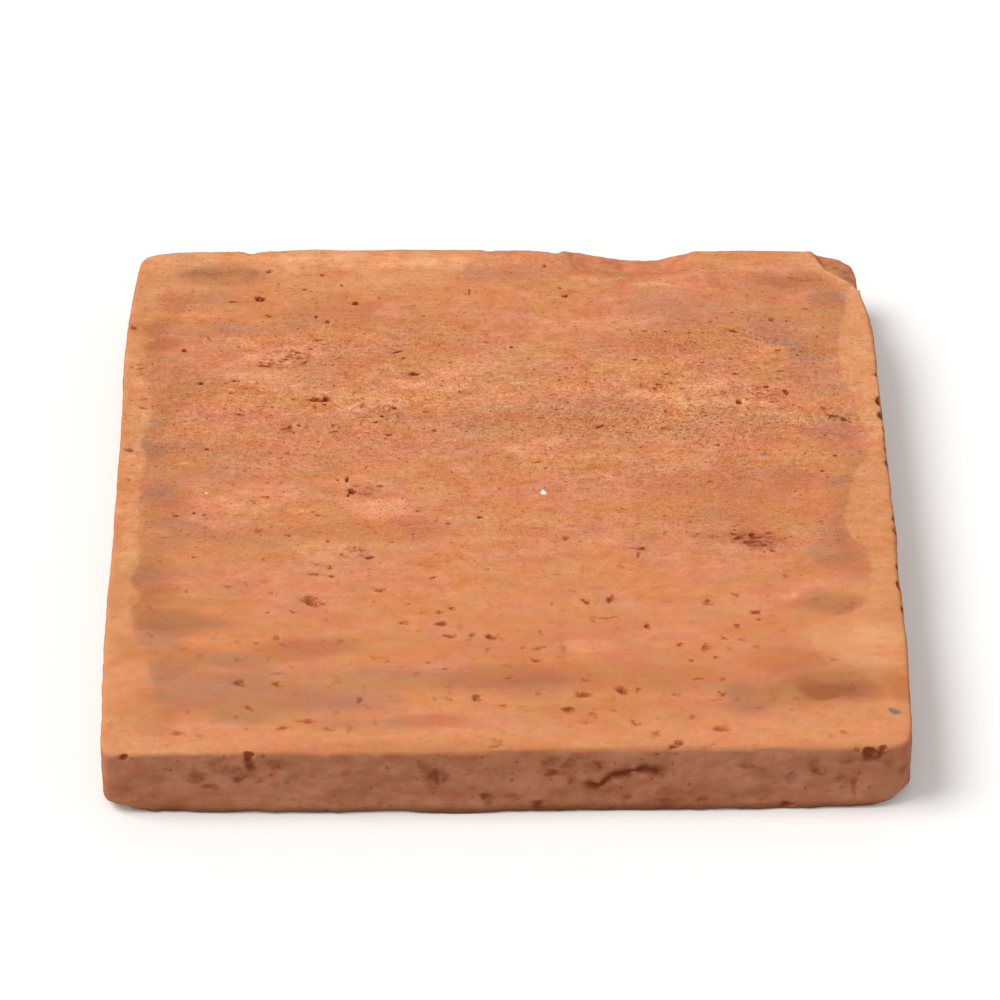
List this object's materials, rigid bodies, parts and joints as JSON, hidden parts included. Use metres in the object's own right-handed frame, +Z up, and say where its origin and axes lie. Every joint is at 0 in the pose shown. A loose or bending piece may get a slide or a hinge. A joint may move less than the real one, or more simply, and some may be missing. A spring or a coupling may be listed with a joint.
{
  "type": "terracotta floor tile",
  "caption": "Square hand-moulded terracotta floor tile with bowed sides, rounded arrises, small pits, a broken corner and a shell-shaped spall along one edge.",
  "frame": {"origin": "middle of the nominal square on the bed face", "axes": "+X to the right along the front side, +Y from the front side to the back side, +Z up, out of the wearing face"},
  "size_m": [0.2016, 0.2031, 0.02],
  "materials": {
    "terracotta": "matte, unglazed, hand struck"
  },
  "bodies": {
    "root": {"tile": "terracotta"}
  },
  "joints": []
}
